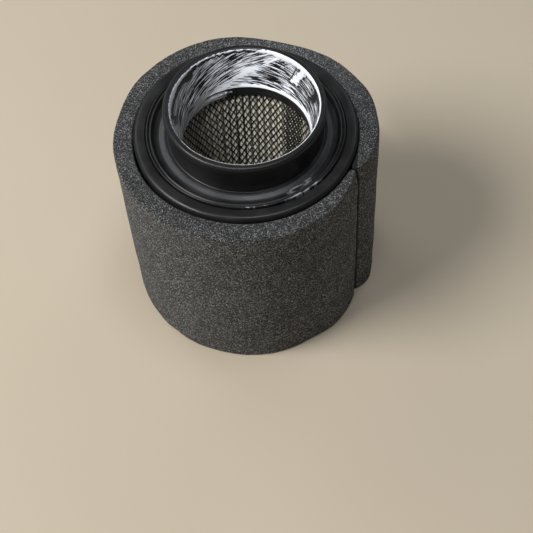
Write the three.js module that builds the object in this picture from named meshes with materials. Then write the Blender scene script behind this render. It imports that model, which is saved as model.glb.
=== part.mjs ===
// Canister air filter element: pleated paper between two expanded-metal liners, cast at both ends
// into soft urethane caps, with a foam pre-cleaner sleeve wrapped round it.
// Millimetres, +Z up. The origin is the centre of the closed end's flat face.

import * as THREE from "three";

// Overall sizes
const CAP_RADIUS = 48.2;
const CAP_TOP = 98.1;
const NECK_TOP = 113.1;
const SLEEVE_HEIGHT = 96;
const FIT_GAP = 0.3; // clearance kept between pieces that touch
const ROUND_SEGMENTS = 48;

// Seal neck, cast in one with the open end cap
const THROAT_RADIUS = 28.1;
const THROAT_Z = 92.8;
const RIM_INNER_RADIUS = 31.7;
const RIM_FLAT_INNER = 32.2;
const RIM_FLAT_OUTER = 33.8;
const LIP_RADIUS = 34.4;
const NECK_FOOT_RADIUS = 33.2;

// Open end cap's top face, from its flat flange inwards
const FLANGE_INNER_RADIUS = 43.3;
const GROOVE_DEPTH = 1.4;
const OUTER_BEAD_RADIUS = 42.4;
const OUTER_BEAD_RISE = 0.7;
const INNER_BEAD_RADIUS = 40.7;
const INNER_BEAD_RISE = 0.3;
const SLOPE_RADIUS = 37;
const SLOPE_FALL = 1.2;
const NECK_COVE = 2.2;
const NECK_COVE_FALL = 1.7;

// Ring left in the closed end cap's face by the mould
const BASE_RING_INNER = 30;
const BASE_RING_OUTER = 33.6;
const BASE_RING_DEPTH = 1.2;

// Potting: both caps grip the ends of the liners and the paper in a ring channel
const SKIRT_INNER_RADIUS = 28.8; // the inner liner stands just outside this
const TOP_SKIRT_Z = 87;
const TOP_CHANNEL_Z = 93.5;
const BOTTOM_CHANNEL_Z = 5;
const BOTTOM_SKIRT_Z = 13;
const BOTTOM_DISC_Z = 6.5;

// Liners
const LINER_SHEET = 0.6;
const INNER_LINER_RADIUS = SKIRT_INNER_RADIUS + FIT_GAP;
const OUTER_LINER_RADIUS = 45.4;
const SKIRT_OUTER_RADIUS = OUTER_LINER_RADIUS + LINER_SHEET + FIT_GAP;
const CORE_BOTTOM = BOTTOM_CHANNEL_Z + FIT_GAP;
const CORE_TOP = TOP_CHANNEL_Z - FIT_GAP;
const LINER_ROWS = 3; // diamonds standing on each other from end to end
const INNER_LINER_COLUMNS = 16;
const OUTER_LINER_COLUMNS = 24;
const DIAMOND_OPENING = 0.8; // hole size as a share of its cell

// Pleated paper
const PLEATS = 60;
const PAPER = 0.5;
const PLEAT_INNER_RADIUS = INNER_LINER_RADIUS + LINER_SHEET + FIT_GAP;
const PLEAT_OUTER_RADIUS = OUTER_LINER_RADIUS - FIT_GAP;
const FOLD_HALF_WIDTH = 0.5;
const PAPER_JOIN_ANGLE = 43; // degrees, where the strip's two ends meet

// Clip that joins the first pleat to the last
const CLIP_DEPTH = 2.6;
const CLIP_SHEET = 0.35;
const CLIP_SPARE = 0.55; // room between each leg and the paper at the clip's mouth
const CLIP_PINCH = 0.3; // the clip's back is this much narrower than its mouth, each side

// Foam sleeve: a strip wrapped round, its ends glued at SEAM_ANGLE
const SLEEVE_INNER_RADIUS = 48.5;
const SLEEVE_OUTER_RADIUS = 57.2;
const SLEEVE_STATIONS = 84;
const SLEEVE_EDGE = 1.6; // rounding of the foam's cut edges
const SEAM_ANGLE = -28.5;
const SEAM_INNER_RADIUS = 49.4;
const SEAM_OUTER_RADIUS = 51;
const FRONT_END_RADIUS = 52.6; // the end in front of the seam stands a little proud of it
const FRONT_REACH = 40; // degrees over which the foam thins towards its front end
const REAR_REACH = 26;
const INNER_REACH = 4;
const STATION_CROWDING = 0.8;
const BOND_SHEET = 0.4;
const BOND_EDGE = 1; // the glue stops this far short of the foam's ends

// Where the hand-wrapped foam bulges or lies flat: angle, amount and spread in degrees
const SLEEVE_SWELLS = [
  { angle: 70, amount: -3.1, spread: 22 },
  { angle: 17, amount: 0.8, spread: 11 },
  { angle: -62, amount: -1.4, spread: 14 },
  { angle: -90, amount: 0.5, spread: 38 },
  { angle: 165, amount: -0.8, spread: 13 },
];

const COLOURS = {
  urethane: { color: 0x17181a, roughness: 0.45, metalness: 0 },
  mesh: { color: 0x24241f, roughness: 0.5, metalness: 0.6 },
  paper: { color: 0xcfc4a2, roughness: 0.95, metalness: 0 },
  clip: { color: 0xa9abad, roughness: 0.4, metalness: 1 },
  foam: { color: 0x3a3b3d, roughness: 1, metalness: 0 },
  glue: { color: 0x26241f, roughness: 0.6, metalness: 0 },
};

const radians = THREE.MathUtils.degToRad;

function polar(radius, degrees, z = 0) {
  const angle = radians(degrees);
  return new THREE.Vector3(radius * Math.cos(angle), radius * Math.sin(angle), z);
}

function piece(name, geometry, finish) {
  const mesh = new THREE.Mesh(geometry, new THREE.MeshStandardMaterial(COLOURS[finish]));
  mesh.name = name;
  return mesh;
}

// Turns an outline of [radius, height] pairs, anticlockwise, round +Z.
function revolve(outline) {
  const points = outline.map(([radius, z]) => new THREE.Vector2(radius, z));
  const geometry = new THREE.LatheGeometry(points, ROUND_SEGMENTS);
  return geometry.rotateX(Math.PI / 2);
}

// Points of a quarter round from one direction to another, in degrees.
function arc(centreRadius, centreZ, size, from, to, steps = 3) {
  return Array.from({ length: steps + 1 }, (_, i) => {
    const angle = radians(from + ((to - from) * i) / steps);
    return [centreRadius + size * Math.cos(angle), centreZ + size * Math.sin(angle)];
  });
}

function topCap() {
  const coveZ = CAP_TOP - NECK_COVE_FALL + NECK_COVE;
  const skirtRound = 0.8;
  const lipRound = 1;
  const outline = [
    // underside: inner skirt, potting channel, outer skirt
    [THROAT_RADIUS, THROAT_Z],
    [THROAT_RADIUS, TOP_SKIRT_Z],
    [SKIRT_INNER_RADIUS, TOP_SKIRT_Z],
    [SKIRT_INNER_RADIUS, TOP_CHANNEL_Z],
    [SKIRT_OUTER_RADIUS, TOP_CHANNEL_Z],
    [SKIRT_OUTER_RADIUS, TOP_SKIRT_Z - 2],
    [CAP_RADIUS - skirtRound, TOP_SKIRT_Z - 2],
    [CAP_RADIUS, TOP_SKIRT_Z - 2 + skirtRound],
    // flat flange, groove and the two beads inside it
    ...arc(CAP_RADIUS - skirtRound, CAP_TOP - skirtRound, skirtRound, 0, 90),
    [FLANGE_INNER_RADIUS, CAP_TOP],
    [FLANGE_INNER_RADIUS - 0.2, CAP_TOP - GROOVE_DEPTH],
    [FLANGE_INNER_RADIUS - 0.5, CAP_TOP - GROOVE_DEPTH],
    [OUTER_BEAD_RADIUS, CAP_TOP + OUTER_BEAD_RISE],
    [(OUTER_BEAD_RADIUS + INNER_BEAD_RADIUS) / 2, CAP_TOP - 0.2],
    [INNER_BEAD_RADIUS, CAP_TOP + INNER_BEAD_RISE],
    [INNER_BEAD_RADIUS - 0.6, CAP_TOP - 0.6],
    // sloping face down to the neck's foot
    [SLOPE_RADIUS, CAP_TOP - SLOPE_FALL],
    ...arc(NECK_FOOT_RADIUS + NECK_COVE, coveZ, NECK_COVE, 270, 180),
    // neck wall, rolled lip and rim
    [NECK_FOOT_RADIUS + 0.2, NECK_TOP - 4],
    ...arc(LIP_RADIUS - lipRound, NECK_TOP - lipRound - 0.8, lipRound, -30, 60),
    [RIM_FLAT_OUTER, NECK_TOP],
    [RIM_FLAT_INNER, NECK_TOP],
    [RIM_INNER_RADIUS, NECK_TOP - 0.6],
    [THROAT_RADIUS, THROAT_Z],
  ];
  return piece("top_cap", revolve(outline), "urethane");
}

function bottomCap() {
  const edgeRound = 1.4;
  const outline = [
    [0, 0],
    [BASE_RING_INNER, 0],
    [BASE_RING_INNER + 0.4, BASE_RING_DEPTH],
    [BASE_RING_OUTER - 0.4, BASE_RING_DEPTH],
    [BASE_RING_OUTER, 0],
    ...arc(CAP_RADIUS - edgeRound, edgeRound, edgeRound, 270, 360),
    [CAP_RADIUS, BOTTOM_SKIRT_Z + 1.2],
    [CAP_RADIUS - 0.8, BOTTOM_SKIRT_Z + 2],
    [SKIRT_OUTER_RADIUS, BOTTOM_SKIRT_Z + 2],
    [SKIRT_OUTER_RADIUS, BOTTOM_CHANNEL_Z],
    [SKIRT_INNER_RADIUS, BOTTOM_CHANNEL_Z],
    [SKIRT_INNER_RADIUS, BOTTOM_SKIRT_Z],
    [THROAT_RADIUS, BOTTOM_SKIRT_Z],
    [THROAT_RADIUS, BOTTOM_DISC_Z],
    [0, BOTTOM_DISC_Z],
  ];
  return piece("bottom_cap", revolve(outline), "urethane");
}

// A tube of expanded metal: diamond cells tile its wall, each with a smaller diamond hole.
// Cell corners stand at whole steps (step, row) of half a cell.
function expandedTube(innerRadius, columns) {
  const outerRadius = innerRadius + LINER_SHEET;
  const stepAngle = 180 / columns;
  const rowHeight = (CORE_TOP - CORE_BOTTOM) / (2 * LINER_ROWS);
  const positions = [];
  const place = (radius, [step, row]) =>
    polar(radius, step * stepAngle, CORE_BOTTOM + row * rowHeight);
  const face = (...corners) => {
    for (let i = 1; i < corners.length - 1; i += 1) {
      positions.push(...corners[0], ...corners[i], ...corners[i + 1]);
    }
  };
  // A patch of the wall, fanned from its first corner: its outside, and its inside turned over.
  const patch = (first, ...others) => {
    face(...[first, ...others].map((corner) => place(outerRadius, corner)));
    face(...[first, ...others.reverse()].map((corner) => place(innerRadius, corner)));
  };
  // An edge of the wall, with the sheet on the left of the way from start to end.
  const edge = (start, end) => {
    const [low, high] = [innerRadius, outerRadius];
    face(place(low, start), place(low, end), place(high, end), place(high, start));
  };
  const cell = (step, row) => {
    const ways = [[1, 0], [0, 1], [-1, 0], [0, -1]];
    const corners = ways.map(([x, y]) => [step + x, row + y]);
    const holes = ways.map(([x, y]) => [step + x * DIAMOND_OPENING, row + y * DIAMOND_OPENING]);
    for (let i = 0; i < ways.length; i += 1) {
      const next = (i + 1) % ways.length;
      patch(corners[i], corners[next], holes[next], holes[i]);
      edge(holes[next], holes[i]);
    }
  };
  for (let row = 1; row < 2 * LINER_ROWS; row += 1) {
    for (let column = 0; column < columns; column += 1) {
      cell(2 * column + (row % 2 ? 0 : 1), row);
    }
  }
  // Solid half cells along both ends.
  for (let column = 0; column < columns; column += 1) {
    const middle = 2 * column + 1;
    const top = 2 * LINER_ROWS;
    patch([middle, 1], [middle - 1, 0], [middle, 0], [middle + 1, 0]);
    patch([middle, top - 1], [middle + 1, top], [middle, top], [middle - 1, top]);
    for (const start of [middle - 1, middle]) {
      edge([start, 0], [start + 1, 0]);
      edge([start + 1, top], [start, top]);
    }
  }
  const geometry = new THREE.BufferGeometry();
  geometry.setAttribute("position", new THREE.Float32BufferAttribute(positions, 3));
  geometry.computeVertexNormals();
  return geometry;
}

// Plan points along one side of a folded strip: side is 1 for its left face and -1 for its right.
function offsetStrip(centre, side) {
  return centre.map((point, i) => {
    const before = centre[Math.max(i - 1, 0)];
    const after = centre[Math.min(i + 1, centre.length - 1)];
    const into = (i ? point.clone().sub(before) : after.clone().sub(point)).normalize();
    const out = (i < centre.length - 1 ? after.clone().sub(point) : into.clone()).normalize();
    const mitre = into.clone().add(out).normalize();
    const reach = PAPER / 2 / mitre.dot(into);
    return new THREE.Vector2(point.x - mitre.y * reach * side, point.y + mitre.x * reach * side);
  });
}

function pleatedMedia() {
  const inner = PLEAT_INNER_RADIUS + PAPER / 2;
  const outer = PLEAT_OUTER_RADIUS - PAPER / 2;
  const pitch = 360 / PLEATS;
  const innerHalf = THREE.MathUtils.radToDeg(FOLD_HALF_WIDTH / inner);
  const outerHalf = THREE.MathUtils.radToDeg(FOLD_HALF_WIDTH / outer);
  const centre = [];
  for (let pleat = 0; pleat < PLEATS; pleat += 1) {
    const angle = PAPER_JOIN_ANGLE + pleat * pitch;
    centre.push(polar(outer, angle + outerHalf));
    centre.push(polar(inner, angle + pitch / 2 - innerHalf));
    centre.push(polar(inner, angle + pitch / 2 + innerHalf));
    centre.push(polar(outer, angle + pitch - outerHalf));
  }
  // The strip's two ends stop short of the clip's back.
  const cutRadius = PLEAT_OUTER_RADIUS - CLIP_SHEET - FIT_GAP;
  centre[0].setLength(cutRadius);
  centre[centre.length - 1].setLength(cutRadius);
  const flat = centre.map(({ x, y }) => new THREE.Vector2(x, y));
  const outline = [...offsetStrip(flat, -1), ...offsetStrip(flat, 1).reverse()];
  const height = CORE_TOP - CORE_BOTTOM;
  const options = { depth: height, bevelEnabled: false };
  const geometry = new THREE.ExtrudeGeometry(new THREE.Shape(outline), options);
  return piece("pleated_media", geometry.translate(0, 0, CORE_BOTTOM), "paper");
}

// A folded strip, open towards the axis, over the two end panels of the paper.
function pleatClip() {
  const back = PLEAT_OUTER_RADIUS;
  const front = back - CLIP_DEPTH;
  const mouth = FOLD_HALF_WIDTH + PAPER / 2 + FIT_GAP + CLIP_SPARE;
  const heel = mouth - CLIP_PINCH;
  const lining = back - CLIP_SHEET;
  const outline = [
    [front, -mouth - CLIP_SHEET],
    [back, -heel - CLIP_SHEET],
    [back, heel + CLIP_SHEET],
    [front, mouth + CLIP_SHEET],
    [front, mouth],
    [lining, heel],
    [lining, -heel],
    [front, -mouth],
  ].map(([x, y]) => new THREE.Vector2(x, y));
  const height = CORE_TOP - CORE_BOTTOM;
  const options = { depth: height, bevelEnabled: false };
  const geometry = new THREE.ExtrudeGeometry(new THREE.Shape(outline), options);
  const clip = piece("pleat_clip", geometry, "clip");
  clip.position.z = CORE_BOTTOM;
  clip.rotation.z = radians(PAPER_JOIN_ANGLE);
  return clip;
}

// Smooth step from 0 at the seam to 1 at the given angle away from it.
function awayFromSeam(distance, reach) {
  return Math.sin((Math.PI / 2) * Math.min(distance / reach, 1));
}

function sleeveOuterRadius(angle) {
  let radius = SLEEVE_OUTER_RADIUS;
  for (const swell of SLEEVE_SWELLS) {
    const apart = THREE.MathUtils.euclideanModulo(angle - swell.angle + 180, 360) - 180;
    radius += swell.amount * Math.exp(-((apart / swell.spread) ** 2));
  }
  const turned = THREE.MathUtils.euclideanModulo(angle - SEAM_ANGLE, 360);
  const behind = awayFromSeam(turned, REAR_REACH);
  const inFront = awayFromSeam(360 - turned, FRONT_REACH);
  return Math.min(
    SEAM_OUTER_RADIUS + (radius - SEAM_OUTER_RADIUS) * behind,
    FRONT_END_RADIUS + (radius - FRONT_END_RADIUS) * inFront,
  );
}

function sleeveInnerRadius(angle) {
  const turned = THREE.MathUtils.euclideanModulo(angle - SEAM_ANGLE, 360);
  const settled = awayFromSeam(Math.min(turned, 360 - turned), INNER_REACH);
  return SEAM_INNER_RADIUS + (SLEEVE_INNER_RADIUS - SEAM_INNER_RADIUS) * settled;
}

// The wrapped strip, swept from one side of the seam right round to the other.
function foamSleeve() {
  const halfSlot = THREE.MathUtils.radToDeg((BOND_SHEET / 2 + FIT_GAP) / SEAM_INNER_RADIUS);
  const edge = SLEEVE_EDGE;
  const section = (angle) => {
    const inner = sleeveInnerRadius(angle);
    const outer = sleeveOuterRadius(angle);
    return [
      [inner, 0],
      [outer - edge, 0],
      [outer - edge * 0.3, edge * 0.3],
      [outer, edge],
      [outer, SLEEVE_HEIGHT - edge],
      [outer - edge * 0.3, SLEEVE_HEIGHT - edge * 0.3],
      [outer - edge, SLEEVE_HEIGHT],
      [inner, SLEEVE_HEIGHT],
    ].map(([radius, z]) => polar(radius, angle, z));
  };
  // Stations crowd towards both ends, where the foam turns in.
  const stations = Array.from({ length: SLEEVE_STATIONS + 1 }, (_, i) => {
    const share = i / SLEEVE_STATIONS;
    const crowded = STATION_CROWDING * Math.sin(2 * Math.PI * share);
    const eased = share - crowded / (2 * Math.PI);
    return section(SEAM_ANGLE + halfSlot + (360 - 2 * halfSlot) * eased);
  });
  const positions = [];
  const triangle = (a, b, c) => positions.push(...a, ...b, ...c);
  const corners = stations[0].length;
  for (let i = 0; i < SLEEVE_STATIONS; i += 1) {
    for (let j = 0; j < corners; j += 1) {
      const next = (j + 1) % corners;
      triangle(stations[i][j], stations[i + 1][next], stations[i][next]);
      triangle(stations[i][j], stations[i + 1][j], stations[i + 1][next]);
    }
  }
  const last = stations[SLEEVE_STATIONS];
  for (let j = 1; j < corners - 1; j += 1) {
    triangle(stations[0][0], stations[0][j], stations[0][j + 1]);
    triangle(last[0], last[j + 1], last[j]);
  }
  const geometry = new THREE.BufferGeometry();
  geometry.setAttribute("position", new THREE.Float32BufferAttribute(positions, 3));
  geometry.computeVertexNormals();
  return piece("foam_sleeve", geometry, "foam");
}

// The glue line between the foam's two ends.
function seamBond() {
  const width = SEAM_OUTER_RADIUS - SEAM_INNER_RADIUS;
  const height = SLEEVE_HEIGHT - 2 * BOND_EDGE;
  const bond = piece("seam_bond", new THREE.BoxGeometry(width, BOND_SHEET, height), "glue");
  bond.position.copy(polar(SEAM_INNER_RADIUS + width / 2, SEAM_ANGLE, SLEEVE_HEIGHT / 2));
  bond.rotation.z = radians(SEAM_ANGLE);
  return bond;
}

const element = new THREE.Group();
element.add(topCap());
element.add(bottomCap());
element.add(piece("inner_liner", expandedTube(INNER_LINER_RADIUS, INNER_LINER_COLUMNS), "mesh"));
element.add(piece("outer_liner", expandedTube(OUTER_LINER_RADIUS, OUTER_LINER_COLUMNS), "mesh"));
element.add(pleatedMedia());
element.add(pleatClip());

const precleaner = new THREE.Group();
precleaner.add(foamSleeve());
precleaner.add(seamBond());

const filter = new THREE.Group();
filter.add(element);
filter.add(precleaner);

export default filter;
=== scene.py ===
"""Canister air filter element with a wrapped foam pre-cleaner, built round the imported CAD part.

Metres, +Z up. The element stands on its closed end, with the seal neck on top.
"""
import math

import bpy
import numpy as np
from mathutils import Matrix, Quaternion, Vector


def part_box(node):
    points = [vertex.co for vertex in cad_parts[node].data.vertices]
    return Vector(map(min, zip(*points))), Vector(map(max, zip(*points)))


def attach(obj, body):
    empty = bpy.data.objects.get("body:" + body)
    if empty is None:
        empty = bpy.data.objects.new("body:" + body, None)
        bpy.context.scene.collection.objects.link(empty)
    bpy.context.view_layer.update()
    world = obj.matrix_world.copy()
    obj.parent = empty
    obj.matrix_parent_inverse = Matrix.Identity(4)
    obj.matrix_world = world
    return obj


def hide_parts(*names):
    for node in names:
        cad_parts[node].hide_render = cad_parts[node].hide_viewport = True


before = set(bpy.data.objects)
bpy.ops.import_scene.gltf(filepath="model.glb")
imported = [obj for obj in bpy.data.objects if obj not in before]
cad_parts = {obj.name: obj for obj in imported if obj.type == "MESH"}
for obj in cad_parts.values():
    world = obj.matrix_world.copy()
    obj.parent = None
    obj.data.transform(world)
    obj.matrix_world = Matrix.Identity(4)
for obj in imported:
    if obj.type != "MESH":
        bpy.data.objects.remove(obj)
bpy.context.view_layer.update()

MM = 0.001

# Places taken from the frame, in millimetres
cap_low, cap_high = (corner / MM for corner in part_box("top_cap"))
base_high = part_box("bottom_cap")[1] / MM
core_low, core_high = (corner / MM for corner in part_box("inner_liner"))
cage_low, cage_high = (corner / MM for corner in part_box("outer_liner"))
foam_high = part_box("foam_sleeve")[1] / MM
CAP_RADIUS = cap_high.x
NECK_TOP = cap_high.z
CAP_TOP = NECK_TOP - 15
LINER_WALL = 0.6
CORE_RADIUS = core_high.x - LINER_WALL
CAGE_RADIUS = cage_high.x - LINER_WALL

# Potting channels, where both caps grip the liners and the paper
SKIRT_INNER_RADIUS = 28.8
SKIRT_OUTER_RADIUS = 46.3
TOP_CHANNEL_Z = 93.5
TOP_SKIRT_Z = 87
BOTTOM_CHANNEL_Z = 5
BOTTOM_SKIRT_Z = 13

# Seal neck
THROAT_RADIUS = 28.1
THROAT_Z = 92.8
RIM_RADIUS = 31.7
NECK_FOOT_RADIUS = 33.2
LIP_RADIUS = 34.4
WALL_RADIUS = 30  # of the neck's wall half way up, on which the grease is laid out flat

# Grease in the neck
GREASE_FOOT_Z = 87.8
GREASE_TOP_Z = NECK_TOP - 0.55
GREASE_WALL_CUTS = 79
GREASE_FOOT_CUTS = 12
GREASE_STEPS = 900

# Expanded metal: diamonds this wide and tall, cut from sheet this thick
DIAMOND_WIDTH = 2.6
DIAMOND_HEIGHT = 5.1
STRAND = 0.56
SHEET = 0.2
STRAND_TWIST = 0.14
WELD = 0.1  # strand ends this close are joined
LAP_ANGLE = 20
LAP_OFFSET = 6.5  # in diamonds round from +X
OUTER_COARSENESS = 1.15

# Paper
PLEATS = 60
PAPER = 0.4
FOLD_ROUNDING = 0.4
INNER_FOLD = 0.95  # half the width of a fold at the inner liner
OUTER_FOLD = 0.55  # and at the outer one
JOIN_ANGLE = 43

# Foam strip, its ends brought together at SEAM_ANGLE
SEAM_ANGLE = -28.5
FOAM_INNER_RADIUS = 48.5
FOAM_OUTER_RADIUS = 57.2
SEAM_INNER_RADIUS = 49.4
SEAM_OUTER_RADIUS = 51.0
SEAM_SLOT = 1.0
FRONT_END_RADIUS = 52.3
OUTER_ROUNDING = 1.3
INNER_ROUNDING = 0.8
OUTSIDE_CUTS = 95
INSIDE_CUTS = 31
END_CUTS = 7
STATIONS = 400
STATION_CROWDING = 0.8
# Degrees over which each end turns in to the seam, and the front end's corner is rounded
FRONT_REACH = 40
REAR_REACH = 26
INNER_REACH = 4
CORNER_REACH = 1.3
GLUE_AND_SHADE_LINE = 0.65
GLUE_AND_SHADE_LEAN = 8.8  # the width of the line of glue and painted shade is measured this many degrees clockwise from +X
# Where the hand-wrapped foam bulges or lies flat: angle, amount, and spread in degrees
FOAM_SWELLS = [(70, -3.1, 22), (17, 0.8, 11), (-62, -1.4, 14), (-90, 0.5, 38), (165, -0.8, 13)]


# ---------------------------------------------------------------- modelling helpers


def clear_selection():
    if bpy.context.object and bpy.context.object.mode != "OBJECT":
        bpy.ops.object.mode_set(mode="OBJECT")
    bpy.ops.object.select_all(action="DESELECT")


def name_piece(name):
    piece = bpy.context.object
    piece.name = name
    piece.data.name = name
    return piece


def settle(piece):
    """Puts the object's place into its mesh, so that the object sits at the origin."""
    clear_selection()
    bpy.context.view_layer.objects.active = piece
    piece.select_set(True)
    bpy.ops.object.transform_apply(location=True, rotation=True, scale=True)


def edit(piece):
    """Starts edit mode on the piece alone."""
    clear_selection()
    bpy.context.view_layer.objects.active = piece
    piece.select_set(True)
    bpy.ops.object.mode_set(mode="EDIT")


def pick_points(piece, wanted):
    """Selects the vertices whose place passes the test, and stays in edit mode."""
    bpy.ops.object.mode_set(mode="OBJECT")
    for vertex in piece.data.vertices:
        vertex.select = wanted(vertex.co / MM)
    for edge in piece.data.edges:
        edge.select = all(piece.data.vertices[i].select for i in edge.vertices)
    for face in piece.data.polygons:
        face.select = False
    bpy.ops.object.mode_set(mode="EDIT")
    bpy.ops.mesh.select_mode(type="VERT")


def finish_shell(tolerance=0.001):
    """Closes the seams of what was spun or arrayed, turns its faces out and leaves edit mode."""
    bpy.ops.mesh.select_all(action="SELECT")
    bpy.ops.mesh.remove_doubles(threshold=tolerance * MM)
    bpy.ops.mesh.normals_make_consistent(inside=False)
    bpy.ops.object.mode_set(mode="OBJECT")


def smooth(angle=35):
    bpy.ops.object.shade_smooth_by_angle(angle=math.radians(angle))


def modify(piece, kind, **settings):
    modifier = piece.modifiers.new(kind.title(), kind)
    for key, value in settings.items():
        setattr(modifier, key, value)
    bpy.context.view_layer.objects.active = piece
    bpy.ops.object.modifier_apply(modifier=modifier.name)


def copy_round(piece, count, pitch, closed, merge):
    """Copies the piece round +Z, count times in all, pitch radians apart, and joins the copies."""
    turner = bpy.data.objects.new("turner", None)
    bpy.context.scene.collection.objects.link(turner)
    turner.rotation_euler.z = pitch
    modify(
        piece, "ARRAY", count=count, use_relative_offset=False, use_object_offset=True,
        offset_object=turner, use_merge_vertices=True, use_merge_vertices_cap=closed,
        merge_threshold=merge * MM,
    )
    bpy.data.objects.remove(turner)


def draw_line(name, points):
    """A wire drawn through points of (x, y, z) in millimetres, left selected in edit mode."""
    clear_selection()
    bpy.ops.mesh.primitive_plane_add(size=MM, location=Vector(points[0]) * MM)
    piece = name_piece(name)
    settle(piece)
    edit(piece)
    bpy.ops.mesh.select_all(action="SELECT")
    bpy.ops.mesh.merge(type="CENTER")
    for start, end in zip(points, points[1:]):
        step = (Vector(end) - Vector(start)) * MM
        bpy.ops.mesh.extrude_vertices_move(TRANSFORM_OT_translate={"value": step})
    bpy.ops.mesh.select_all(action="SELECT")
    return piece


def turned(name, outline, steps, closed=True):
    """An outline of (radius, height) or (radius, height, rounding) corners, spun once round +Z."""
    points = [(point[0], 0, point[1]) for point in outline]
    piece = draw_line(name, points + points[:1] if closed else points)
    bpy.ops.mesh.remove_doubles(threshold=0.001 * MM)
    roundings = sorted({point[2] for point in outline if len(point) > 2})
    for rounding in roundings:
        corners = [Vector((p[0], 0, p[1])) for p in outline if len(p) > 2 and p[2] == rounding]
        pick_points(piece, lambda place: any((place - c).length < 0.01 for c in corners))
        bpy.ops.mesh.bevel(offset=rounding * MM, segments=5, affect="VERTICES")
    bpy.ops.mesh.select_all(action="SELECT")
    bpy.ops.mesh.spin(steps=steps, angle=2 * math.pi, center=(0, 0, 0), axis=(0, 0, 1))
    finish_shell()
    smooth()
    return piece


def places(piece):
    """The mesh's points in millimetres, as an array."""
    flat = np.empty(len(piece.data.vertices) * 3)
    piece.data.vertices.foreach_get("co", flat)
    return flat.reshape(-1, 3) / MM


def put_places(piece, points):
    piece.data.vertices.foreach_set("co", (points * MM).ravel())
    piece.data.update()


def polar(points):
    """Radius and angle in degrees of each point, seen along Z."""
    return np.hypot(points[:, 0], points[:, 1]), np.degrees(np.arctan2(points[:, 1], points[:, 0]))


def at_polar(radius, angle, height):
    turn = np.radians(angle)
    return np.stack([radius * np.cos(turn), radius * np.sin(turn), height], axis=1)


def apart(angle, centre):
    """Degrees from centre to angle, from -180 to 180."""
    return (angle - centre + 180) % 360 - 180


def ease(value, low, high):
    """0 below low and 1 above high, with a smooth change between."""
    share = np.clip((value - low) / (high - low), 0, 1)
    return share * share * (3 - 2 * share)


def grain(across, along, seed):
    """Smooth random values from 0 to 1 on a plane, one wave to a unit, the same at every run."""
    def corner(i, j):
        mixed = np.sin(i * 127.1 + j * 311.7 + seed * 74.7) * 43758.5453
        return mixed - np.floor(mixed)

    i, j = np.floor(across), np.floor(along)
    u, v = ease(across - i, 0, 1), ease(along - j, 0, 1)
    near = corner(i, j) * (1 - u) + corner(i + 1, j) * u
    far = corner(i, j + 1) * (1 - u) + corner(i + 1, j + 1) * u
    return near * (1 - v) + far * v


def give_attribute(piece, name, values):
    attribute = piece.data.attributes.new(name, "FLOAT", "POINT")
    attribute.data.foreach_set("value", values.astype(np.float32))


# ---------------------------------------------------------------- end caps


def make_open_cap():
    """Open end cap and seal neck, one casting: skirts, flange, groove, beads, slope, neck and lip."""
    outline = [
        (THROAT_RADIUS, THROAT_Z, 0.2),
        (THROAT_RADIUS + 0.15, TOP_SKIRT_Z, 0.3),
        (SKIRT_INNER_RADIUS, TOP_SKIRT_Z),
        (SKIRT_INNER_RADIUS, TOP_CHANNEL_Z),
        (SKIRT_OUTER_RADIUS, TOP_CHANNEL_Z),
        (SKIRT_OUTER_RADIUS, cap_low.z),
        (CAP_RADIUS, cap_low.z, 0.8),
        (CAP_RADIUS, CAP_TOP, 1.7),
        (43.25, CAP_TOP, 0.25),
        (43.05, CAP_TOP - 1.5),
        (42.8, CAP_TOP - 1.5),
        (42.7, CAP_TOP + 0.8, 0.4),
        (41.9, CAP_TOP + 0.8, 0.35),
        (41.6, CAP_TOP - 0.15, 0.2),
        (41.0, CAP_TOP + 0.3, 0.25),
        (40.4, CAP_TOP + 0.3, 0.25),
        (40.1, CAP_TOP - 0.7, 0.15),
        (39.4, CAP_TOP - 1.8, 0.3),
        (37.1, CAP_TOP - 2.0, 0.4),
        (35.0, CAP_TOP - 1.1, 0.7),
        (NECK_FOOT_RADIUS, CAP_TOP - 1.5, 0.8),
        (NECK_FOOT_RADIUS + 0.05, NECK_TOP - 4.4, 1.2),
        (LIP_RADIUS, NECK_TOP - 3.0, 0.7),
        (LIP_RADIUS, NECK_TOP, 1.25),
        (RIM_RADIUS, NECK_TOP, 0.45),
    ]
    return turned("open_end_cap", outline, steps=192)


def make_closed_cap():
    """Closed end cap: flat face with the ring left by the mould, skirts and potting channel."""
    outline = [
        (0, 0),
        (30, 0, 0.15),
        (30.4, 1.2, 0.2),
        (33.2, 1.2, 0.2),
        (33.6, 0, 0.15),
        (CAP_RADIUS, 0, 1.4),
        (CAP_RADIUS, base_high.z, 0.8),
        (SKIRT_OUTER_RADIUS, base_high.z),
        (SKIRT_OUTER_RADIUS, BOTTOM_CHANNEL_Z),
        (SKIRT_INNER_RADIUS, BOTTOM_CHANNEL_Z),
        (SKIRT_INNER_RADIUS, BOTTOM_SKIRT_Z),
        (THROAT_RADIUS, BOTTOM_SKIRT_Z, 0.3),
        (THROAT_RADIUS, 6.5, 1.0),
        (0, 6.5),
    ]
    return turned("closed_end_cap", outline, steps=160, closed=False)


# ---------------------------------------------------------------- expanded metal


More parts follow.
